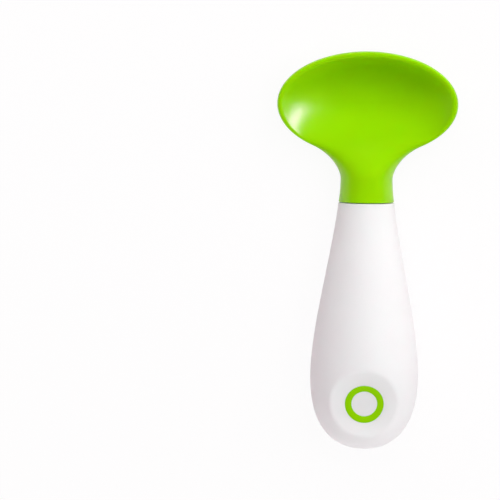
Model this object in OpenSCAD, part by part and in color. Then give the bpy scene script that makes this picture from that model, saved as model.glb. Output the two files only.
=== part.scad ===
// Baby spoon: a wide scoop bowl on a short neck, held in a hollow pear-shaped handle of two shells.
// It lies on its back at rest, with the bowl towards +Y and its open side up. Sizes are in millimetres.

/* [Bowl] */
// Width of the bowl over its rim
bowl_width = 52.7; // [42:0.1:64]
// Length of the bowl's oval along the spoon
bowl_length = 30.8; // [25:0.1:37]
// Depth of the bowl's floor below the crest of the lip beside it
bowl_depth = 9.8; // [7.5:0.1:11.5]
// Thickness of the bowl's floor
floor_wall = 2.3; // [1.6:0.1:3.2]
// Width of the rounded lip
lip_width = 2.7; // [1.8:0.1:3.4]
// Height of the lip's crest over its widest line
lip_rise = 1.4; // [0.9:0.1:1.8]
// Height of the lip's widest line over the handle's axis, beside the bowl's centre
rim_height = 5; // [4:0.1:6]
// Upward slope of the rim towards the tip, in degrees
rim_slope = 7.2; // [4:0.1:10]
// Depth of the flat under the bowl, on which the spoon lies still
pad_depth = 0.6; // [0.4:0.1:0.9]

/* [Neck] */
// Diameter of the neck and of the handle where they meet
seam_d = 16.25; // [15:0.05:19]
// Diameter of the neck at its waist
waist_d = 15.2; // [13.5:0.1:17]
// Height of the waist over the handle's mouth
waist_rise = 6.8; // [5:0.1:8.5]
// Distance from the handle's mouth to the near end of the bowl's oval
neck_length = 13.4; // [12:0.1:17]

/* [Handle] */
// Length of the handle from its mouth to its widest place
taper_length = 50.8; // [42:0.1:58]
// Length of the handle from its widest place to its end
cap_length = 21.3; // [18:0.1:26]
// Diameter of the handle at its widest place
belly_d = 31.5; // [28:0.1:36]
// Wall thickness of the two shells
shell_wall = 2; // [1.6:0.1:2.6]

/* [Thumb dish] */
// Diameter of the dish's rim
dish_d = 19.4; // [15:0.1:21]
// Hollow of the dish's floor from side to side
dish_hollow = 0.8; // [0.4:0.05:1.2]

/* [Joint in the handle] */
// Wall of the handle's mouth round the spigot
mouth_wall = 2.1; // [1.6:0.1:2.6]
// Length of the spigot inside the handle
spigot_length = 20; // [17:0.5:24]
// Distance from the mouth to the locking groove
groove_drop = 7; // [5:0.5:8]
// Width of the locking groove
groove_width = 3; // [2:0.5:4]
// Depth of the locking groove
groove_depth = 1.2; // [0.8:0.1:1.6]
// Wall of the hollow spigot under the groove
core_wall = 1.7; // [1.2:0.1:2.2]
// Thickness of the two keys that stop the head turning
key_width = 3; // [2:0.1:4]
// Height of the keys over the spigot
key_rise = 1.3; // [0.8:0.1:1.6]
// Diameter of the posts that hold the shells together
post_d = 6.4; // [5:0.1:8]
// Diameter of the pins on the posts
pin_d = 3; // [2:0.1:4]
// Length of the pins
pin_length = 4; // [2.5:0.1:5]
// Height of the tongue along the shells' joint
tongue_height = 0.8; // [0.5:0.05:1.2]
// Clearance between pieces that fit into each other
fit_gap = 0.1; // [0.05:0.01:0.2]
// Open line between the head and the handle
seam_gap = 0.2; // [0.1:0.05:0.4]
// Chamfer on the two edges at that line
edge_break = 0.3; // [0.1:0.05:0.5]

/* [Hidden] */
head_colour = [0.55, 0.80, 0.02];
handle_colour = [0.93, 0.92, 0.925];

// Half sizes and places on the spoon's axis, counted from the handle's mouth
bowl_half_width = bowl_width/2;
bowl_half_length = bowl_length/2;
bowl_centre = neck_length + bowl_half_length;
bowl_tip = neck_length + bowl_length;
seam_r = seam_d/2;
waist_r = waist_d/2;
belly_r = belly_d/2;
handle_length = taper_length + cap_length;

// Heights over the spoon's axis
floor_top = rim_height + lip_rise - bowl_depth;
floor_under = floor_top - floor_wall;
rim_grade = tan(rim_slope);

// The neck's fillet leaves the oval at this share of its half length, with these two curve handles
fillet_share = 0.8;
fillet_handle_shares = [0.262, 0.255];
fillet_angle = asin(fillet_share);

// Powers of the section curves: inside of the bowl, back of the bowl, and the round neck
bowl_curve = [2.4, 0.75];
back_power = 0.6;
round_curve = [2, 0.5];
// Softness of the bowl's inner edge
inner_soft = 0.12;

// Shares of the handle's outline: flare at the mouth, then curve handles of the taper and of the end
mouth_flare_share = 0.104;
taper_shares = [0.29, 0.28];
cap_shares = [0.65, 0.63];

// Place of the dish as a share of the end's curve
dish_place_share = 0.225;

// Places of the posts, as shares of the belly's radius and of the taper's length
post_place_shares = [[0, 0.56], [-0.46, 0.93], [0.46, 0.93]];
// The tongue lies between these shares of the wall
tongue_shares = [0.35, 0.68];

// The spoon lies at a tilt between level and this, in degrees
tilt_limit = 45;

// Steps of the curves
neck_steps = 5;
fillet_steps = 12;
bowl_steps = 36;
ring_half = 28;
taper_steps = 22;
cap_steps = 20;
search_steps = 40;
$fn = 96;

// Sizes of the joint
spigot_r = seam_r - mouth_wall - fit_gap;
groove_r = spigot_r - groove_depth;
core_r = groove_r - core_wall;
core_top = waist_rise/2;
spigot_bury = core_top/2;
spigot_lead = groove_depth/2;
groove_end = groove_drop + groove_width;
key_start = groove_end + groove_width/2;
block_end = spigot_length - groove_width/2;
bore_r = spigot_r + fit_gap;
half_fit = fit_gap/2;

function mix(a, b, t) = a + (b - a)*t;
function ease(t) = t*t*(3 - 2*t);
function clip(t) = min(1, max(0, t));
function bezier(p, t) =
    pow(1 - t, 3)*p[0] + 3*pow(1 - t, 2)*t*p[1] + 3*(1 - t)*t*t*p[2] + t*t*t*p[3];
function bezier_rate(p, t) =
    3*(pow(1 - t, 2)*(p[1] - p[0]) + 2*(1 - t)*t*(p[2] - p[1]) + t*t*(p[3] - p[2]));

// Outline of the head. A station is its place on the axis, its half width, and half width times slope.
fillet_top = [bowl_centre - bowl_half_length*fillet_share, bowl_half_width*cos(fillet_angle)];
fillet_rate = [bowl_half_length*cos(fillet_angle), bowl_half_width*fillet_share];
fillet_foot = [waist_rise, waist_r];
fillet = [
    fillet_foot,
    fillet_foot + [fillet_handle_shares[0]*(fillet_top[0] - waist_rise), 0],
    fillet_top - fillet_handle_shares[1]*fillet_rate,
    fillet_top
];

function neck_station(y) =
    let (t = 1 - y/waist_rise, w = mix(waist_r, seam_r, t*t))
    [y, w, -2*w*(seam_r - waist_r)*t/waist_rise];
function fillet_station(t) =
    let (p = bezier(fillet, t), d = bezier_rate(fillet, t))
    [p[0], p[1], p[1]*d[1]/d[0]];
function bowl_station(angle) = [
    bowl_centre + bowl_half_length*sin(angle),
    bowl_half_width*cos(angle),
    -bowl_half_width*bowl_half_width*sin(angle)/bowl_half_length
];

stations = concat(
    [[0, seam_r - edge_break, 0]],
    [for (i = [0:neck_steps - 1]) neck_station(mix(edge_break, waist_rise, i/neck_steps))],
    [for (i = [0:fillet_steps - 1]) fillet_station(i/fillet_steps)],
    [for (i = [0:bowl_steps - 1]) bowl_station(mix(-fillet_angle, 90, i/bowl_steps))]
);

// Sections of the head. The share is 0 up to the neck's waist and 1 from the bowl's centre on.
function bowl_share(y) = clip((y - waist_rise)/(bowl_centre - waist_rise));
function neck_r(s) = s[0] > waist_rise ? waist_r : s[1];
function past_centre(y) = max(0, y - bowl_centre);

function edge_z(y) =
    let (t = bowl_share(y), run = bowl_centre - waist_rise)
    rim_height*ease(t) + rim_grade*run*t*t*(t - 1) + rim_grade*past_centre(y);

// How far a point lies inside the outline, measured square to it
function inset(s, x) = (s[1]*s[1] - x*x)/(2*norm([x, s[2]]));

function lip_z(s, x) =
    let (q = clip(2*inset(s, x)/lip_width))
    sqrt(q*(2 - q));

// Place of a point between the bowl's middle, 0, and the inner edge of its lip, 1
function inner_place(s, x) =
    let (lip = lip_width*pow(ease(bowl_share(s[0])), 2)*sqrt(1 + pow(s[2]/s[1], 2)))
    s[0] > bowl_centre
        ? norm([x/(bowl_half_width - lip_width), past_centre(s[0])/(bowl_half_length - lip_width)])
        : abs(x)/(s[1] - lip);

// Place of a point between the middle, 0, and the outline, 1
function outer_place(s, x) =
    let (rise = past_centre(s[0])/bowl_half_length)
    min(1, norm([x/s[1]*sqrt(1 - rise*rise), rise]));

function soft_inside(u, soft) = (u + sqrt(u*u + soft*soft))/(1 + sqrt(1 + soft*soft));

function front_z(s, x) =
    let (
        k = ease(bowl_share(s[0])),
        curve = mix(round_curve, bowl_curve, k),
        crest = lip_rise*k*k,
        middle = mix(neck_r(s), floor_top, k),
        edge = edge_z(s[0]),
        u = soft_inside(1 - pow(inner_place(s, x), curve[0]), inner_soft*k)
    )
    edge + crest*lip_z(s, x) + (middle - edge - crest)*pow(max(0, u), curve[1]);

function back_z(s, x) =
    let (
        k = ease(bowl_share(s[0])),
        middle = mix(-neck_r(s), floor_under, k),
        edge = edge_z(s[0])
    )
    edge + (middle - edge)*pow(1 - pow(outer_place(s, x), 2), mix(round_curve[1], back_power, k));

function across(s, i) = s[1]*sin(180*i/ring_half - 90);
function head_ring(s) = concat(
    [for (i = [0:ring_half]) [across(s, i), -front_z(s, across(s, i)), s[0]]],
    [for (i = [ring_half - 1:-1:1]) [across(s, i), -back_z(s, across(s, i)), s[0]]]
);

// Outline of the handle as half width and height, the mouth first
taper = [
    [0, seam_r],
    [taper_length*taper_shares[0], seam_r + taper_length*taper_shares[0]*mouth_flare_share],
    [taper_length*(1 - taper_shares[1]), belly_r],
    [taper_length, belly_r]
];
cap = [
    [taper_length, belly_r],
    [taper_length + cap_length*cap_shares[0], belly_r],
    [handle_length, belly_r*cap_shares[1]],
    [handle_length, 0]
];

// A point of a curve moved inwards by a distance, as half width and height
function inward(curve, t, depth) =
    let (p = bezier(curve, t), d = bezier_rate(curve, t), n = d/norm(d))
    [max(0, p[1] - depth*n[0]), -p[0] - depth*n[1]];
function handle_curve(depth) = concat(
    [for (i = [0:taper_steps]) inward(taper, i/taper_steps, depth)],
    [for (i = [1:cap_steps - 1]) inward(cap, i/cap_steps, depth)],
    [[0, depth - handle_length]]
);
function below(points, height) = [for (p = points) if (p[1] < -height) p];
function turned_back(points) = [for (i = [len(points) - 1:-1:0]) points[i]];
function half_width_at(height) = lookup(height, [for (p = turned_back(handle_curve(0))) [p[1], p[0]]]);

// The dish lies square to the handle's end curve
dish_point = bezier(cap, dish_place_share);
dish_rate = bezier_rate(cap, dish_place_share);
dish_tilt = atan(-dish_rate[1]/dish_rate[0]);
dish_r = dish_d/2;
dish_run = dish_r*cos(dish_tilt);
// How far the handle's surface falls away at the dish's rim, at its sides and at its two ends
dish_side_fall = dish_point[1] - sqrt(dish_point[1]*dish_point[1] - dish_r*dish_r);
dish_ends = [for (way = [-1, 1]) half_width_at(way*dish_run - dish_point[0])];
dish_end_fall = (dish_point[1] - (dish_ends[0] + dish_ends[1])/2)*cos(dish_tilt);
dish_depth = dish_side_fall + dish_hollow;
// Radii of its floor, across the handle and along it
function arc_radius(half_chord, rise) = (half_chord*half_chord + rise*rise)/(2*rise);
dish_across_r = arc_radius(dish_r, dish_hollow);
dish_along_r = arc_radius(dish_r, dish_depth - dish_end_fall);

// The spoon rests on its belly and on the flat under the bowl: the tilt at which both are equally low
under_handle = [for (p = handle_curve(0)) [p[1], p[0]]];
under_head = [for (s = stations) [s[0], -back_z(s, 0)]];
over_head = [for (s = stations) [s[0], front_z(s, 0)]];
function reach(points, angle) = max([for (p = points) p[0]*sin(angle) + p[1]*cos(angle)]);
function level_tilt(low, high, steps) =
    let (angle = (low + high)/2)
    steps == 0 ? angle
    : reach(under_handle, angle) > reach(under_head, angle) - pad_depth ? level_tilt(angle, high, steps - 1)
    : level_tilt(low, angle, steps - 1);
rest_tilt = level_tilt(0, tilt_limit, search_steps);
rest_lift = reach(under_handle, rest_tilt);
rest_front = max([for (p = over_head) p[0]*cos(rest_tilt) + p[1]*sin(rest_tilt)]);
rest_back = max([for (p = under_handle) p[1]*sin(rest_tilt) - p[0]*cos(rest_tilt)]);

// Turns a piece from upright, with its front towards -Y, to the way the spoon lies
module at_rest() {
    translate([0, (rest_back - rest_front)/2, rest_lift])
        rotate([-90 - rest_tilt, 0, 0])
            children();
}

module head_body() {
    ring = 2*ring_half;
    last = len(stations) - 1;
    points = concat([for (s = stations) each head_ring(s)], [[0, -edge_z(bowl_tip), bowl_tip]]);
    foot = [for (i = [0:ring - 1]) i];
    sides = [
        for (j = [0:last - 1], i = [0:ring - 1])
            let (k = (i + 1)%ring, low = j*ring, high = low + ring)
            each [[low + i, high + i, high + k], [low + i, high + k, low + k]]
    ];
    tip = [for (i = [0:ring - 1]) [last*ring + i, len(points) - 1, last*ring + (i + 1)%ring]];
    polyhedron(points = points, faces = concat([foot], sides, tip), convexity = 6);
}

module spigot() {
    rotate_extrude()
        polygon([
            [0, spigot_bury],
            [spigot_r, spigot_bury],
            [spigot_r, -groove_drop],
            [groove_r, -groove_drop],
            [groove_r, -groove_end],
            [spigot_r, -groove_end],
            [spigot_r, spigot_lead - spigot_length],
            [spigot_r - spigot_lead, -spigot_length],
            [0, -spigot_length]
        ]);
}

// The two keys are the ends of one bar through the spigot
module key_bar(gap) {
    reach = spigot_r + key_rise + gap;
    high = gap - key_start;
    low = -block_end - gap;
    translate([-reach, -key_width/2 - gap, low])
        cube([2*reach, key_width + 2*gap, high - low]);
}

// The table below the bowl, which cuts the flat
module table() {
    translate([-bowl_half_width, 0, -belly_d])
        cube([bowl_width, handle_length, belly_d]);
}

module spoon_head() {
    color(head_colour)
        difference() {
            at_rest()
                difference() {
                    union() {
                        head_body();
                        spigot();
                        key_bar(0);
                    }
                    translate([0, 0, -spigot_length - fit_gap])
                        cylinder(r = core_r, h = spigot_length + core_top + fit_gap);
                }
            table();
        }
}

// Half of the handle, solid, at a depth below its surface; the front half when front is true
module half_solid(depth, front) {
    rotate([0, 0, front ? 180 : 0])
        rotate_extrude(angle = 180)
            polygon(concat([[0, -seam_gap]], below(handle_curve(depth), seam_gap)));
}

module half_shell(front) {
    mouth_r = half_width_at(-seam_gap - edge_break);
    rotate([0, 0, front ? 180 : 0])
        rotate_extrude(angle = 180)
            polygon(concat(
                [[bore_r, -seam_gap], [mouth_r - edge_break, -seam_gap], [mouth_r, -seam_gap - edge_break]],
                below(handle_curve(0), seam_gap + edge_break),
                turned_back(below(handle_curve(shell_wall), block_end)),
                [
                    [half_width_at(-block_end) - shell_wall, -block_end],
                    [bore_r, -block_end],
                    [bore_r, half_fit - groove_end],
                    [groove_r + fit_gap, half_fit - groove_end],
                    [groove_r + fit_gap, -groove_drop - half_fit],
                    [bore_r, -groove_drop - half_fit]
                ]
            ));
}

// Stands children at each post, pointing to the front or to the back from the shells' joint
module at_posts(front) {
    for (p = post_place_shares)
        translate([p[0]*belly_r, 0, -p[1]*taper_length])
            rotate([front ? 90 : -90, 0, 0])
                children();
}

module posts(front) {
    intersection() {
        half_solid(shell_wall/2, front);
        at_posts(front)
            cylinder(d = post_d, h = belly_d);
    }
}

// A band along the middle of the wall, on both sides of the handle and round its end
module tongue_band(gap) {
    start = 2*shell_wall;
    outer = below(handle_curve(shell_wall*tongue_shares[0] - gap), start - gap);
    inner = below(handle_curve(shell_wall*tongue_shares[1] + gap), start - gap);
    rotate([90, 0, 0])
        linear_extrude(height = 2*(tongue_height + gap), center = true)
            polygon(concat(
                outer,
                [for (p = turned_back(outer)) if (p[0] > 0) [-p[0], p[1]]],
                [for (p = inner) if (p[0] > 0) [-p[0], p[1]]],
                turned_back(inner)
            ));
}

// Stands children on the handle's surface where the dish is, square to it
module at_dish() {
    translate([0, -dish_point[1], -dish_point[0]])
        rotate([90 + dish_tilt, 0, 0])
            children();
}

// A wide ring that stands on the dish's floor, grown by a distance, with its seam on the inside.
// Only the part of its section on one side of the ring's axis is turned.
module dish_ring(grow) {
    at_dish()
        translate([0, 0, dish_across_r - dish_depth])
            rotate([90, 0, 0])
                rotate_extrude()
                    intersection() {
                        translate([dish_across_r - dish_along_r, 0])
                            rotate(180)
                                circle(r = dish_along_r + grow);
                        translate([0, -2*dish_along_r])
                            square([2*dish_across_r, 4*dish_along_r]);
                    }
}

// The wall behind the dish
module dish_backing() {
    intersection() {
        half_solid(shell_wall/2, true);
        dish_ring(shell_wall);
    }
}

module handle_front_shell() {
    color(handle_colour)
        at_rest()
            difference() {
                union() {
                    half_shell(true);
                    posts(true);
                    dish_backing();
                }
                dish_ring(0);
                tongue_band(fit_gap);
                key_bar(fit_gap);
                at_posts(true)
                    translate([0, 0, -fit_gap])
                        cylinder(d = pin_d + 2*fit_gap, h = pin_length + 2*fit_gap);
            }
}

module handle_back_shell() {
    color(handle_colour)
        at_rest()
            union() {
                difference() {
                    union() {
                        half_shell(false);
                        posts(false);
                    }
                    key_bar(fit_gap);
                }
                tongue_band(0);
                at_posts(true)
                    translate([0, 0, -pin_length])
                        cylinder(d = pin_d, h = 2*pin_length);
            }
}

spoon_head();
handle_front_shell();
handle_back_shell();
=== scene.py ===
import math

import bpy
import numpy as np
from mathutils import Matrix, Vector


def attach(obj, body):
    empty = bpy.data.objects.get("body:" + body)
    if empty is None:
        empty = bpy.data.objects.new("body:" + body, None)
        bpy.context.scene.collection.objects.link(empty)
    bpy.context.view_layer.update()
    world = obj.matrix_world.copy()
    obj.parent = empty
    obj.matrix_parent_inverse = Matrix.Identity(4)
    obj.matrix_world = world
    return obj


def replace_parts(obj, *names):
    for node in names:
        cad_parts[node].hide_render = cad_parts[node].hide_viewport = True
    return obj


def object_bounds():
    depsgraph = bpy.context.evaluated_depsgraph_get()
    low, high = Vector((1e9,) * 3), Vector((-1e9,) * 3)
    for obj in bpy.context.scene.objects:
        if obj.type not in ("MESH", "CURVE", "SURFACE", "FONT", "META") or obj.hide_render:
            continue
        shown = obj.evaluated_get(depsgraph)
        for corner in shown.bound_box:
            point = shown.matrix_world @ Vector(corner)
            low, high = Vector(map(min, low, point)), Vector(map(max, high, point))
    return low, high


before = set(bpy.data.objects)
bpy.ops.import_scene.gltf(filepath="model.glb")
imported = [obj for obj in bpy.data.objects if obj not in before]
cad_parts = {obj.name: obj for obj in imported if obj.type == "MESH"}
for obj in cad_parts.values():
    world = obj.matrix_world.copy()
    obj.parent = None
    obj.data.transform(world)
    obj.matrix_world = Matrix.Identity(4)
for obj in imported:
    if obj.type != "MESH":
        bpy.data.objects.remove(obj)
cad_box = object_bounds()

# Sizes in millimetres, and the slope of the bowl's rim, that the solids have too
BOWL_WIDTH = 52.7
BOWL_LENGTH = 30.8
BOWL_DEPTH = 9.8
FLOOR_WALL = 2.3
LIP_RISE = 1.4
RIM_HEIGHT = 5.0
RIM_GRADE = math.tan(math.radians(7.2))
PAD_DEPTH = 0.6
SEAM_R = 8.125
WAIST_R = 7.6
WAIST_RISE = 6.8
NECK_LENGTH = 13.4
TAPER_LENGTH = 50.8
CAP_LENGTH = 21.3
BELLY_R = 15.75
SHELL_WALL = 2.0
DISH_R = 9.7
DISH_HOLLOW = 0.8
SPIGOT_R = 5.925
SPIGOT_LENGTH = 20.0
GROOVE_DROP = 7.0
GROOVE_WIDTH = 3.0
GROOVE_DEPTH = 1.2
SEAM_GAP = 0.2
EDGE_BREAK = 0.3

# Shares and powers of the curves that the solids have too
FILLET_SHARE = 0.8
FILLET_HANDLE_SHARES = (0.262, 0.255)
TAPER_SHARES = (0.29, 0.72)
MOUTH_FLARE_SHARE = 0.104
CAP_SHARES = (0.65, 0.63)
DISH_PLACE_SHARE = 0.225
BOWL_CURVE = (2.4, 0.75)
BACK_POWER = 0.6
ROUND_CURVE = (2.0, 0.5)

# The bowl's lip and the softness of its inner edge, narrower and crisper than the solid's
LIP_WIDTH = 1.8
INNER_SOFT = 0.06

# Fine sizes of the scene alone, in millimetres: the dish's rim, the line between the shells, the print
DISH_RIM_SOFT = 0.7
JOINT_GAP = 0.03
JOINT_EDGE = 0.14
RING_INNER_R = 3.75
RING_CREST_R = 5.0
RING_OUTER_R = 5.65
RING_EDGE = 0.1
RING_SINK = 0.05
RING_SHOULDER = 0.035
RING_HEIGHT = 0.04

# Shares of a row's radius that limit the joint's gap, its edge and the inner face at the tail
TAIL_GAP_SHARE = 0.2
TAIL_EDGE_SHARE = 0.3
TAIL_INNER_SHARE = 0.3
# Share of the joint's edge at which its rounding has its middle point
EDGE_MIDDLE_SHARE = 0.3

# Steps of the curves, and of the neck, fillet and bowl along the head
REST_STEPS = (8, 20, 60)
HEAD_STEPS = (10, 44, 120)
HEAD_HALF_STEPS = 72
OUTLINE_STEPS = 80
TAPER_STEPS = 130
CAP_STEPS = 121
OUTER_STEPS = 200
INNER_STEPS = 60
RING_STEPS = 128
ROUND_STEPS = 4
SEARCH_STEPS = 50

# The spoon lies at a tilt between level and this
TILT_LIMIT = math.radians(45)
# Edges steeper than this stay sharp
SHARP_ANGLE = math.radians(40)
# Keeps a division from zero, in millimetres
LEAST_SPAN = 0.01
MM_PER_METRE = 1000

# Places on the spoon's axis, counted from the handle's mouth
HALF_W = BOWL_WIDTH / 2
HALF_L = BOWL_LENGTH / 2
BOWL_CENTRE = NECK_LENGTH + HALF_L
BOWL_TIP = NECK_LENGTH + BOWL_LENGTH
BOWL_RUN = BOWL_CENTRE - WAIST_RISE
HANDLE_LENGTH = TAPER_LENGTH + CAP_LENGTH
MOUTH = SEAM_GAP + EDGE_BREAK
GROOVE_END = GROOVE_DROP + GROOVE_WIDTH

# Heights over the axis, and radii of the spigot
FLOOR_TOP = RIM_HEIGHT + LIP_RISE - BOWL_DEPTH
FLOOR_UNDER = FLOOR_TOP - FLOOR_WALL
GROOVE_R = SPIGOT_R - GROOVE_DEPTH
SPIGOT_LEAD = GROOVE_DEPTH / 2


# Curves
def mix(a, b, t):
    return a + (b - a) * t


def ease(t):
    return t * t * (3 - 2 * t)


def bezier(p, t):
    return (1 - t) ** 3 * p[0] + 3 * (1 - t) ** 2 * t * p[1] + 3 * (1 - t) * t * t * p[2] + t ** 3 * p[3]


def bezier_rate(p, t):
    return 3 * ((1 - t) ** 2 * (p[1] - p[0]) + 2 * (1 - t) * t * (p[2] - p[1]) + t * t * (p[3] - p[2]))


def points(*pairs):
    return [np.array(p, float) for p in pairs]


FILLET_COS = math.sqrt(1 - FILLET_SHARE ** 2)
FILLET_TOP = np.array([BOWL_CENTRE - HALF_L * FILLET_SHARE, HALF_W * FILLET_COS])
FILLET_RATE = np.array([HALF_L * FILLET_COS, HALF_W * FILLET_SHARE])
FILLET = points(
    (WAIST_RISE, WAIST_R),
    (WAIST_RISE + FILLET_HANDLE_SHARES[0] * (FILLET_TOP[0] - WAIST_RISE), WAIST_R),
    FILLET_TOP - FILLET_HANDLE_SHARES[1] * FILLET_RATE,
    FILLET_TOP,
)
FLARE_LENGTH = TAPER_SHARES[0] * TAPER_LENGTH
TAPER = points(
    (0, SEAM_R),
    (FLARE_LENGTH, SEAM_R + FLARE_LENGTH * MOUTH_FLARE_SHARE),
    (TAPER_SHARES[1] * TAPER_LENGTH, BELLY_R),
    (TAPER_LENGTH, BELLY_R),
)
CAP = points(
    (TAPER_LENGTH, BELLY_R),
    (TAPER_LENGTH + CAP_SHARES[0] * CAP_LENGTH, BELLY_R),
    (HANDLE_LENGTH, CAP_SHARES[1] * BELLY_R),
    (HANDLE_LENGTH, 0),
)
# Depth below the mouth and half width, all along the handle
HANDLE_OUTLINE = np.array([bezier(c, t) for c in (TAPER, CAP) for t in np.linspace(0, 1, OUTLINE_STEPS)])
# Angles of the small roundings at the line between the head and the handle
ROUND_ANGLES = np.radians(np.linspace(0, 90, ROUND_STEPS, endpoint=False))


# The head. A station is its place on the axis, its half width, and half width times slope.
def neck_station(y):
    t = 1 - y / WAIST_RISE
    w = mix(WAIST_R, SEAM_R, t * t)
    return y, w, -2 * w * (SEAM_R - WAIST_R) * t / WAIST_RISE


def fillet_station(t):
    p, rate = bezier(FILLET, t), bezier_rate(FILLET, t)
    return p[0], p[1], p[1] * rate[1] / rate[0]


def bowl_station(angle):
    a = math.radians(angle)
    return BOWL_CENTRE + HALF_L * math.sin(a), HALF_W * math.cos(a), -HALF_W ** 2 * math.sin(a) / HALF_L


def head_stations(neck, fillet, bowl):
    start = -math.degrees(math.asin(FILLET_SHARE))
    rounded = [
        (EDGE_BREAK * (1 - math.cos(a)), SEAM_R - EDGE_BREAK * (1 - math.sin(a)), 0.0)
        for a in ROUND_ANGLES
    ]
    return (
        rounded
        + [neck_station(mix(EDGE_BREAK, WAIST_RISE, i / neck)) for i in range(neck)]
        + [fillet_station(i / fillet) for i in range(fillet)]
        + [bowl_station(mix(start, 90, i / bowl)) for i in range(bowl)]
    )


def bowl_share(y):
    """0 up to the neck's waist and 1 from the bowl's centre on."""
    return min(1.0, max(0.0, (y - WAIST_RISE) / BOWL_RUN))


def neck_r(y, w):
    return WAIST_R if y > WAIST_RISE else w


def edge_z(y):
    """Height of the head's widest line."""
    t = bowl_share(y)
    past_centre = max(0, y - BOWL_CENTRE)
    return RIM_HEIGHT * ease(t) + RIM_GRADE * BOWL_RUN * t * t * (t - 1) + RIM_GRADE * past_centre


def inner_place(station, x):
    """Place of a point between the bowl's middle, 0, and the inner edge of its lip, 1."""
    y, w, g = station
    if y > BOWL_CENTRE:
        return np.hypot(x / (HALF_W - LIP_WIDTH), (y - BOWL_CENTRE) / (HALF_L - LIP_WIDTH))
    lip = LIP_WIDTH * ease(bowl_share(y)) ** 2 * math.sqrt(1 + (g / w) ** 2)
    return np.abs(x) / (w - lip)


def lip_z(station, x):
    """Height of the rounded lip, 0 at the outline and 1 at its crest."""
    _, w, g = station
    inset = (w * w - x * x) / (2 * np.maximum(LEAST_SPAN, np.hypot(x, g)))
    q = np.clip(2 * inset / LIP_WIDTH, 0, 1)
    return np.sqrt(q * (2 - q))


def soft_inside(u, soft):
    """Follows u above zero and comes softly to zero below it."""
    return (u + np.sqrt(u * u + soft * soft)) / (1 + math.sqrt(1 + soft * soft))


def front_z(station, x):
    """Height of the head's front: round at the neck, then hollow with a lip."""
    y, w, _ = station
    k = ease(bowl_share(y))
    crest = LIP_RISE * k * k
    middle = mix(neck_r(y, w), FLOOR_TOP, k)
    edge = edge_z(y)
    u = soft_inside(1 - inner_place(station, x) ** mix(ROUND_CURVE[0], BOWL_CURVE[0], k), INNER_SOFT * k)
    hollow = np.maximum(0, u) ** mix(ROUND_CURVE[1], BOWL_CURVE[1], k)
    return edge + crest * lip_z(station, x) + (middle - edge - crest) * hollow


def back_z(station, x):
    """Height of the head's back: round at the neck, then the bowl's underside."""
    y, w, _ = station
    k = ease(bowl_share(y))
    middle = mix(-neck_r(y, w), FLOOR_UNDER, k)
    edge = edge_z(y)
    rise = max(0, y - BOWL_CENTRE) / HALF_L
    place = np.minimum(1, np.hypot(x / w * math.sqrt(1 - rise * rise), rise))
    return edge + (middle - edge) * (1 - place ** 2) ** mix(ROUND_CURVE[1], BACK_POWER, k)


def rest_pose():
    """Tilt, shift and lift of the spoon, which lies on its belly and on the flat under the bowl."""
    middle = np.array([0.0])
    stations = head_stations(*REST_STEPS)
    under_handle = HANDLE_OUTLINE * (-1, 1)
    under_head = np.array([(s[0], -back_z(s, middle)[0]) for s in stations])
    over_head = np.array([(s[0], front_z(s, middle)[0]) for s in stations])

    def reach(outline, a):
        return np.max(outline[:, 0] * math.sin(a) + outline[:, 1] * math.cos(a))

    low, high = 0.0, TILT_LIMIT
    for _ in range(SEARCH_STEPS):
        a = (low + high) / 2
        if reach(under_handle, a) > reach(under_head, a) - PAD_DEPTH:
            low = a
        else:
            high = a
    forward = np.max(over_head[:, 0] * math.cos(a) + over_head[:, 1] * math.sin(a))
    behind = np.max(under_handle[:, 1] * math.sin(a) - under_handle[:, 0] * math.cos(a))
    return a, (behind - forward) / 2, reach(under_handle, a)


TILT, SHIFT, LIFT = rest_pose()


def to_frame(co):
    """From millimetres, with Y along the spoon's axis and Z to its front, to the frame in metres."""
    co = np.asarray(co, float)
    x, y, z = co[..., 0], co[..., 1], co[..., 2]
    c, s = math.cos(TILT), math.sin(TILT)
    return np.stack([x, y * c + z * s + SHIFT, z * c - y * s + LIFT], -1) / MM_PER_METRE


# Meshes
def make_piece(name, co, faces, material):
    # the floor of the solids' box flattens the bowl's underside
    kept = np.clip(to_frame(co), *np.array(cad_box))
    mesh = bpy.data.meshes.new(name)
    mesh.from_pydata(kept.tolist(), [], faces)
    mesh.validate()
    mesh.update()
    mesh.polygons.foreach_set("use_smooth", [True] * len(mesh.polygons))
    mesh.set_sharp_from_angle(angle=SHARP_ANGLE)
    obj = bpy.data.objects.new(name, mesh)
    bpy.context.scene.collection.objects.link(obj)
    mesh.materials.append(material)
    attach(obj, "root")
    return obj


def grid_faces(rows, columns, start=0, flip=False):
    """Faces between rows of points that each go round and close."""
    faces = []
    for j in range(rows - 1):
        for i in range(columns):
            a = start + j * columns + i
            b = start + j * columns + (i + 1) % columns
            quad = (a, b, b + columns, a + columns)
            faces.append(quad[::-1] if flip else quad)
    return faces


# Materials
NOISE_SPAN = (0.3, 0.7)
CLOUD_SCALE = 55
GLOSS_SCALE = 420
CLOUD_DETAIL = 3.0
CLOUD_ROUGHNESS = 0.5
GRAIN_DETAIL = 2.0
GRAIN_ROUGHNESS = 0.6
GRAIN_HEIGHT = 0.00006


def empty_tree(block):
    """The node tree of a material or world, with no node in it."""
    block.use_nodes = True
    block.node_tree.nodes.clear()
    return block.node_tree.nodes, block.node_tree.links


def add_noise(nodes, links, place, scale, detail, roughness):
    noise = nodes.new("ShaderNodeTexNoise")
    noise.inputs["Scale"].default_value = scale
    noise.inputs["Detail"].default_value = detail
    noise.inputs["Roughness"].default_value = roughness
    links.new(place.outputs["Object"], noise.inputs["Vector"])
    return noise.outputs["Fac"]


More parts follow.
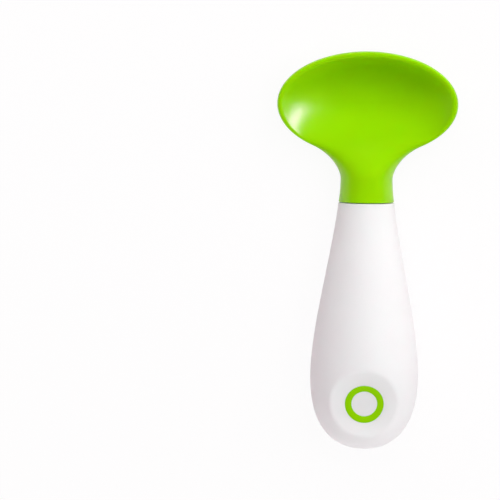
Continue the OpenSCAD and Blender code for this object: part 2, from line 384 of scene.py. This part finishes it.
def moulded_plastic(name, colours, roughness, grain, specular, tint, depth):
    """Moulded plastic: a faint cloudiness in its colour, uneven gloss and the tool's fine grain.

    grain is the scale and strength of the relief. depth is the weight, radius and scale of the light
    that goes into the plastic and comes out again.
    """
    material = bpy.data.materials.new(name)
    nodes, links = empty_tree(material)
    out = nodes.new("ShaderNodeOutputMaterial")
    shader = nodes.new("ShaderNodeBsdfPrincipled")
    links.new(shader.outputs["BSDF"], out.inputs["Surface"])
    place = nodes.new("ShaderNodeTexCoord")

    cloud = add_noise(nodes, links, place, CLOUD_SCALE, CLOUD_DETAIL, CLOUD_ROUGHNESS)
    ramp = nodes.new("ShaderNodeValToRGB")
    for element, position, colour in zip(ramp.color_ramp.elements, NOISE_SPAN, colours):
        element.position = position
        element.color = (*colour, 1)
    links.new(cloud, ramp.inputs["Fac"])
    links.new(ramp.outputs["Color"], shader.inputs["Base Color"])

    gloss = add_noise(nodes, links, place, GLOSS_SCALE, CLOUD_DETAIL, CLOUD_ROUGHNESS)
    span = nodes.new("ShaderNodeMapRange")
    span.inputs["From Min"].default_value, span.inputs["From Max"].default_value = NOISE_SPAN
    span.inputs["To Min"].default_value, span.inputs["To Max"].default_value = roughness
    links.new(gloss, span.inputs["Value"])
    links.new(span.outputs["Result"], shader.inputs["Roughness"])

    grain_scale, grain_strength = grain
    fine = add_noise(nodes, links, place, grain_scale, GRAIN_DETAIL, GRAIN_ROUGHNESS)
    relief = nodes.new("ShaderNodeBump")
    relief.inputs["Strength"].default_value = grain_strength
    relief.inputs["Distance"].default_value = GRAIN_HEIGHT
    links.new(fine, relief.inputs["Height"])
    links.new(relief.outputs["Normal"], shader.inputs["Normal"])

    weight, radius, scale = depth
    shader.inputs["Specular IOR Level"].default_value = specular
    shader.inputs["Specular Tint"].default_value = (*tint, 1)
    shader.inputs["Subsurface Weight"].default_value = weight
    shader.inputs["Subsurface Radius"].default_value = radius
    shader.inputs["Subsurface Scale"].default_value = scale
    return material


green = moulded_plastic(
    "green_plastic",
    colours=((0.280, 0.640, 0.0003), (0.300, 0.665, 0.0005)),
    roughness=(0.28, 0.33),
    grain=(1900, 0.10),
    specular=0.40,
    tint=(1, 1, 0.8),
    depth=(0.25, (0.25, 1.0, 0.1), 0.003),
)
white = moulded_plastic(
    "white_plastic",
    colours=((0.866, 0.842, 0.852), (0.886, 0.864, 0.873)),
    roughness=(0.50, 0.62),
    grain=(2600, 0.35),
    specular=0.40,
    tint=(1, 1, 1),
    depth=(0.4, (1.0, 0.8, 0.85), 0.005),
)
ink = moulded_plastic(
    "green_print",
    colours=((0.250, 0.590, 0.0005), (0.275, 0.630, 0.001)),
    roughness=(0.32, 0.42),
    grain=(3200, 0.15),
    specular=0.35,
    tint=(1, 1, 0.8),
    depth=(0.0, (1, 1, 1), 0.001),
)

# Half width and depth below the mouth, along the spigot with its groove
SPIGOT_PROFILE = (
    (SPIGOT_R, 0),
    (SPIGOT_R, GROOVE_DROP),
    (GROOVE_R, GROOVE_DROP),
    (GROOVE_R, GROOVE_END),
    (SPIGOT_R, GROOVE_END),
    (SPIGOT_R, SPIGOT_LENGTH - SPIGOT_LEAD),
    (SPIGOT_R - SPIGOT_LEAD, SPIGOT_LENGTH),
)


def build_head():
    """The bowl, the neck and the spigot as one closed mesh."""
    columns = 2 * HEAD_HALF_STEPS
    angles = np.radians(np.linspace(-90, 90, HEAD_HALF_STEPS + 1))
    rings = []
    for station in head_stations(*HEAD_STEPS):
        x = station[1] * np.sin(angles)
        y = np.full_like(x, station[0])
        front = np.stack([x, y, front_z(station, x)], -1)
        back = np.stack([x, y, back_z(station, x)], -1)
        rings.append(np.concatenate([front, back[-2:0:-1]]))
    tip = len(rings) * columns
    last = tip - columns
    faces = grid_faces(len(rings), columns)
    faces += [(last + i, last + (i + 1) % columns, tip) for i in range(columns)]

    # the spigot, from the neck's flat end into the handle
    turn = np.radians(np.linspace(-90, 270, columns, endpoint=False))
    spigot = [
        np.stack([r * np.sin(turn), np.full_like(turn, -depth), r * np.cos(turn)], -1)
        for r, depth in SPIGOT_PROFILE
    ]
    start = tip + 1
    end = start + (len(spigot) - 1) * columns
    faces += grid_faces(len(spigot), columns, start, flip=True)
    faces += [(start + i, start + (i + 1) % columns, (i + 1) % columns, i) for i in range(columns)]
    faces.append(tuple(reversed(range(end, end + columns))))
    co = np.concatenate([*rings, [[0, BOWL_TIP, edge_z(BOWL_TIP)]], *spigot])
    return make_piece("head", co, faces, green)


# The thumb dish, with axes that point out of the handle and down along it
def handle_r(depth):
    """The handle's half width at a depth below its mouth."""
    return np.interp(depth, HANDLE_OUTLINE[:, 0], HANDLE_OUTLINE[:, 1])


def arc_radius(half_chord, rise):
    return (half_chord ** 2 + rise ** 2) / (2 * rise)


DISH_POINT = bezier(CAP, DISH_PLACE_SHARE)
DISH_RATE = bezier_rate(CAP, DISH_PLACE_SHARE)
DISH_TILT = math.atan2(-DISH_RATE[1], DISH_RATE[0])
DISH_SIDE_FALL = DISH_POINT[1] - math.sqrt(DISH_POINT[1] ** 2 - DISH_R ** 2)
DISH_DEPTH = DISH_SIDE_FALL + DISH_HOLLOW
DISH_RUN = DISH_R * math.cos(DISH_TILT)
DISH_ENDS = (handle_r(DISH_POINT[0] - DISH_RUN) + handle_r(DISH_POINT[0] + DISH_RUN)) / 2
DISH_END_FALL = (DISH_POINT[1] - DISH_ENDS) * math.cos(DISH_TILT)
DISH_ACROSS_R = arc_radius(DISH_R, DISH_HOLLOW)
DISH_ALONG_R = arc_radius(DISH_R, DISH_DEPTH - DISH_END_FALL)
DISH_ORIGIN = np.array([0, -DISH_POINT[0], DISH_POINT[1]])
DISH_OUT = np.array([0, -math.sin(DISH_TILT), math.cos(DISH_TILT)])
DISH_DOWN = np.array([0, -math.cos(DISH_TILT), -math.sin(DISH_TILT)])
# Only the surface this far round the dish and above this depth is pressed
PRESS_R = 1.5 * DISH_R
PRESS_DEPTH = 3 * DISH_DEPTH


def dish_height(u, v):
    """The dish's floor, hollow across the handle and more so along it."""
    round_along = DISH_ACROSS_R - DISH_ALONG_R + np.sqrt(np.maximum(0, DISH_ALONG_R ** 2 - v * v))
    return DISH_ACROSS_R - DISH_DEPTH - np.sqrt(np.maximum(0, round_along ** 2 - u * u))


def press_dish(co, below):
    """Pushes the handle's surface down into the dish, with a soft edge."""
    rel = co - DISH_ORIGIN
    u, v, h = rel[..., 0], rel @ DISH_DOWN, rel @ DISH_OUT
    floor = dish_height(u, v) - below
    near = np.maximum(DISH_RIM_SOFT - np.abs(h - floor), 0) / DISH_RIM_SOFT
    pressed = np.minimum(h, floor) - near * near * DISH_RIM_SOFT / 4
    inside = (h > -PRESS_DEPTH) & (np.hypot(u, v) < PRESS_R)
    return co + np.where(inside, pressed - h, 0)[..., None] * DISH_OUT


# The handle's shells
def shell_rows():
    """Depth below the mouth and radius of each row, from the mouth's rounded edge to the tail."""
    start = MOUTH / bezier_rate(TAPER, 0)[0]
    mouth_r = bezier(TAPER, start)[1]
    rounded = [
        (MOUTH - EDGE_BREAK * math.cos(a), mouth_r - EDGE_BREAK * (1 - math.sin(a)))
        for a in ROUND_ANGLES
    ]
    taper = [bezier(TAPER, t) for t in np.linspace(start, 1, TAPER_STEPS)]
    cap = [bezier(CAP, t) for t in np.linspace(0, 1, CAP_STEPS)[1:-1]]
    return rounded + taper + cap


def arc(r, start, end, steps):
    turn = np.linspace(start, end, steps)
    return np.stack([r * np.cos(turn), r * np.sin(turn)], -1)


def shell_section(r):
    """A row's outer face with its rounded edges, and its inner face, as half circles."""
    gap = min(JOINT_GAP, TAIL_GAP_SHARE * r)
    edge = min(JOINT_EDGE, TAIL_EDGE_SHARE * r)
    inner_r = max(TAIL_INNER_SHARE * r, r - SHELL_WALL)
    bend = EDGE_MIDDLE_SHARE * edge
    lead = np.array([(r - edge, gap), (r - bend, gap + bend)])
    first = math.asin((gap + edge) / r)
    outer = np.concatenate([lead, arc(r, first, math.pi - first, OUTER_STEPS), lead[::-1] * (-1, 1)])
    first = math.asin(gap / inner_r)
    return outer, arc(inner_r, math.pi - first, first, INNER_STEPS)


def build_shell(name, front):
    """Half of the handle as one closed mesh, with the dish pressed into the front half."""
    side = 1 if front else -1
    rows = []
    for depth, r in shell_rows():
        outer, inner = shell_section(r)
        inner_depth = min(depth, HANDLE_LENGTH - SHELL_WALL)
        row = []
        for section, drop, below in ((outer, depth, 0), (inner, inner_depth, SHELL_WALL)):
            co = np.stack([section[:, 0], np.full(len(section), -drop), side * section[:, 1]], -1)
            row.append(press_dish(co, below) if front else co)
        rows.append(np.concatenate(row))
    columns = len(rows[0])
    outer_count = columns - INNER_STEPS
    edges = outer_count - 1

    def behind(i):
        """The inner face's point that lies behind a point of the outer face."""
        return outer_count + round((edges - i) / edges * (INNER_STEPS - 1))

    # the mouth's flat end and the closed tail
    ends = []
    for i in range(edges):
        j, k = behind(i), behind(i + 1)
        ends.append((j, k, i + 1, i) if j != k else (k, i + 1, i))
    last = (len(rows) - 1) * columns
    outer_tail = tuple(range(last, last + outer_count))
    inner_tail = tuple(range(last + outer_count, last + columns))
    joint_tail = (outer_tail[-1], inner_tail[0], inner_tail[-1], outer_tail[0])
    ends += [outer_tail, inner_tail, joint_tail]
    faces = grid_faces(len(rows), columns, flip=not front)
    faces += ends if front else [end[::-1] for end in ends]
    return make_piece(name, np.concatenate(rows), faces, white)


# Radius and lift over the dish's floor, along the ring's section
RING_PROFILE = (
    (RING_INNER_R, -RING_SINK),
    (RING_INNER_R, 0.0),
    (RING_INNER_R + RING_EDGE, RING_SHOULDER),
    (RING_CREST_R, RING_HEIGHT),
    (RING_OUTER_R - RING_EDGE, RING_SHOULDER),
    (RING_OUTER_R, 0.0),
    (RING_OUTER_R, -RING_SINK),
)


def build_ring():
    """A plain printed ring where the thumb goes."""
    turn = np.linspace(0, 2 * math.pi, RING_STEPS, endpoint=False)
    rows = []
    for r, lift in RING_PROFILE:
        u, v = r * np.cos(turn), r * np.sin(turn)
        h = dish_height(u, v) + lift
        across = np.stack([u, np.zeros(RING_STEPS), np.zeros(RING_STEPS)], -1)
        rows.append(DISH_ORIGIN + across + v[:, None] * DISH_DOWN + h[:, None] * DISH_OUT)
    rows.append(rows[0])
    faces = grid_faces(len(rows), RING_STEPS)
    make_piece("thumb_ring", np.concatenate(rows), faces, ink)


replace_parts(build_head(), "spoon_head")
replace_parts(build_shell("handle_front", True), "handle_front_shell")
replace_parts(build_shell("handle_back", False), "handle_back_shell")
build_ring()

# Stage, in metres
FLOOR_HALF = 4.0
FLOOR_COLOUR = (0.93, 0.82, 0.855, 1)
FLOOR_GLOW_SHARE = 0.93
# Height over the horizon and level of each stop of the room's light
WORLD_STOPS = ((0.0, 0.7), (0.05, 0.7), (0.15, 0.03), (0.9, 0.03))


def floor_white():
    """Matte to the lamps, and mostly plain white to the camera and to mirrored rays."""
    material = bpy.data.materials.new("floor_white")
    nodes, links = empty_tree(material)
    out = nodes.new("ShaderNodeOutputMaterial")
    matte = nodes.new("ShaderNodeBsdfDiffuse")
    matte.inputs["Color"].default_value = FLOOR_COLOUR
    glow = nodes.new("ShaderNodeEmission")
    glow.inputs["Color"].default_value = (1, 1, 1, 1)
    glow.inputs["Strength"].default_value = 1.0
    path = nodes.new("ShaderNodeLightPath")
    seen = path.outputs["Is Camera Ray"]
    for ray in ("Is Glossy Ray", "Is Transmission Ray"):
        either = nodes.new("ShaderNodeMath")
        either.operation = "MAXIMUM"
        links.new(seen, either.inputs[0])
        links.new(path.outputs[ray], either.inputs[1])
        seen = either.outputs[0]
    part = nodes.new("ShaderNodeMath")
    part.operation = "MULTIPLY"
    part.inputs[1].default_value = FLOOR_GLOW_SHARE
    links.new(seen, part.inputs[0])
    blend = nodes.new("ShaderNodeMixShader")
    links.new(part.outputs[0], blend.inputs["Fac"])
    links.new(matte.outputs[0], blend.inputs[1])
    links.new(glow.outputs[0], blend.inputs[2])
    links.new(blend.outputs[0], out.inputs["Surface"])
    return material


def add_floor():
    mesh = bpy.data.meshes.new("floor")
    corners = [(x * FLOOR_HALF, y * FLOOR_HALF, 0) for x, y in ((-1, -1), (1, -1), (1, 1), (-1, 1))]
    mesh.from_pydata(corners, [], [(0, 1, 2, 3)])
    mesh.materials.append(floor_white())
    obj = bpy.data.objects.new("floor", mesh)
    bpy.context.scene.collection.objects.link(obj)


def add_world():
    """A dim room with a bright horizon."""
    world = bpy.data.worlds.new("studio")
    bpy.context.scene.world = world
    nodes, links = empty_tree(world)
    out = nodes.new("ShaderNodeOutputWorld")
    back = nodes.new("ShaderNodeBackground")
    place = nodes.new("ShaderNodeTexCoord")
    split = nodes.new("ShaderNodeSeparateXYZ")
    ramp = nodes.new("ShaderNodeValToRGB")
    for height, _ in WORLD_STOPS[1:-1]:
        ramp.color_ramp.elements.new(height)
    for element, (height, level) in zip(ramp.color_ramp.elements, WORLD_STOPS):
        element.position = height
        element.color = (level, level, level, 1)
    links.new(place.outputs["Generated"], split.inputs[0])
    links.new(split.outputs["Z"], ramp.inputs["Fac"])
    links.new(ramp.outputs["Color"], back.inputs["Color"])
    links.new(back.outputs[0], out.inputs["Surface"])


# Lamps, in metres and watts. All aim at the spoon's middle but the gleam, which aims at the bowl's side.
LAMP_AIM = (0, 0, 0.015)
LAMP_SPREAD = math.radians(180)
GLEAM_SPREAD = math.radians(40)
NEUTRAL = (1, 1, 1)
ROSE = (1, 0.85, 0.90)
LAMPS = {
    "key": {"place": (0.757, 0.217, 0.318), "size": (0.30, 0.30), "power": 1.4},
    "gleam": {
        "place": (0.0018, 0.0448, 0.0162),
        "size": (0.0116, 0.0144),
        "power": 0.00102,
        "colour": (0.85, 0.50, 1.0),
        "aim": (-0.0212, 0.0382, 0.0089),
        "gleam": True,
    },
    "back": {"place": (0.0, 0.80, 0.55), "size": (0.9, 0.5), "power": 1.8},
    "back_left": {"place": (-0.5, 0.65, 0.45), "size": (0.5, 0.5), "power": 1.35, "colour": ROSE},
    "back_right": {"place": (0.45, 0.70, 0.50), "size": (0.5, 0.5), "power": 1.85},
    "over": {"place": (0.0, 0.05, 1.0), "size": (0.9, 0.9), "power": 2.55},
    "over_right": {"place": (0.55, 0.20, 0.90), "size": (0.6, 0.8), "power": 3.0},
    "over_back": {"place": (0.0, 0.50, 0.87), "size": (0.7, 0.5), "power": 2.35},
    "low_front": {"place": (0.0, -0.80, 0.11), "size": (0.6, 0.14), "power": 3.0},
    "low_left": {"place": (-0.4, -0.75, 0.2), "size": (0.4, 0.2), "power": 1.1, "colour": ROSE},
}


def add_lamp(name, place, size, power, colour=NEUTRAL, aim=LAMP_AIM, gleam=False):
    """A soft lamp. It lights the plastic, or as a gleam is only mirrored in it."""
    data = bpy.data.lights.new(name, "AREA")
    data.shape = "RECTANGLE"
    data.size, data.size_y = size
    data.energy = power
    data.spread = GLEAM_SPREAD if gleam else LAMP_SPREAD
    data.color = colour
    data.cycles.use_multiple_importance_sampling = False
    obj = bpy.data.objects.new(name, data)
    bpy.context.scene.collection.objects.link(obj)
    obj.location = place
    obj.rotation_euler = (Vector(aim) - Vector(place)).to_track_quat("-Z", "Y").to_euler()
    obj.visible_camera = False
    obj.visible_diffuse = not gleam
    obj.visible_glossy = gleam


# Camera, in metres and radians. The seam, where the head meets the handle, has its place in pixels.
FRAME_PIXELS = 500
PIXELS_PER_METRE = 3428.0
SEAM_PIXEL = (366.30, 202.03)
CAMERA_AWAY = 2.4
CAMERA_PITCH = TILT + math.radians(3.3)
CAMERA_LEAN = 0.0118
SENSOR_WIDTH = 36
CLIP_END = 50


def add_camera():
    """Straight on to the spoon from far off, with the spoon in the right half of the frame."""
    toward = Vector((0, math.sin(CAMERA_PITCH), math.cos(CAMERA_PITCH)))
    level_up = Vector((0, math.cos(CAMERA_PITCH), -math.sin(CAMERA_PITCH)))
    level_right = Vector((1, 0, 0))
    up = level_up * math.cos(CAMERA_LEAN) - level_right * math.sin(CAMERA_LEAN)
    right = level_right * math.cos(CAMERA_LEAN) + level_up * math.sin(CAMERA_LEAN)
    seam = Vector(to_frame([0, 0, 0]).tolist())
    across = (SEAM_PIXEL[0] - FRAME_PIXELS / 2) / PIXELS_PER_METRE
    rise = (FRAME_PIXELS / 2 - SEAM_PIXEL[1]) / PIXELS_PER_METRE
    data = bpy.data.cameras.new("camera")
    data.sensor_width = SENSOR_WIDTH
    data.lens = SENSOR_WIDTH * PIXELS_PER_METRE * CAMERA_AWAY / FRAME_PIXELS
    data.clip_end = CLIP_END
    obj = bpy.data.objects.new("camera", data)
    bpy.context.scene.collection.objects.link(obj)
    obj.matrix_world = Matrix((right, up, toward)).transposed().to_4x4()
    obj.location = seam - right * across - up * rise + toward * CAMERA_AWAY
    bpy.context.scene.camera = obj


add_floor()
add_world()
for lamp_name, lamp in LAMPS.items():
    add_lamp(lamp_name, **lamp)
add_camera()
bpy.context.scene.view_settings.view_transform = "Standard"
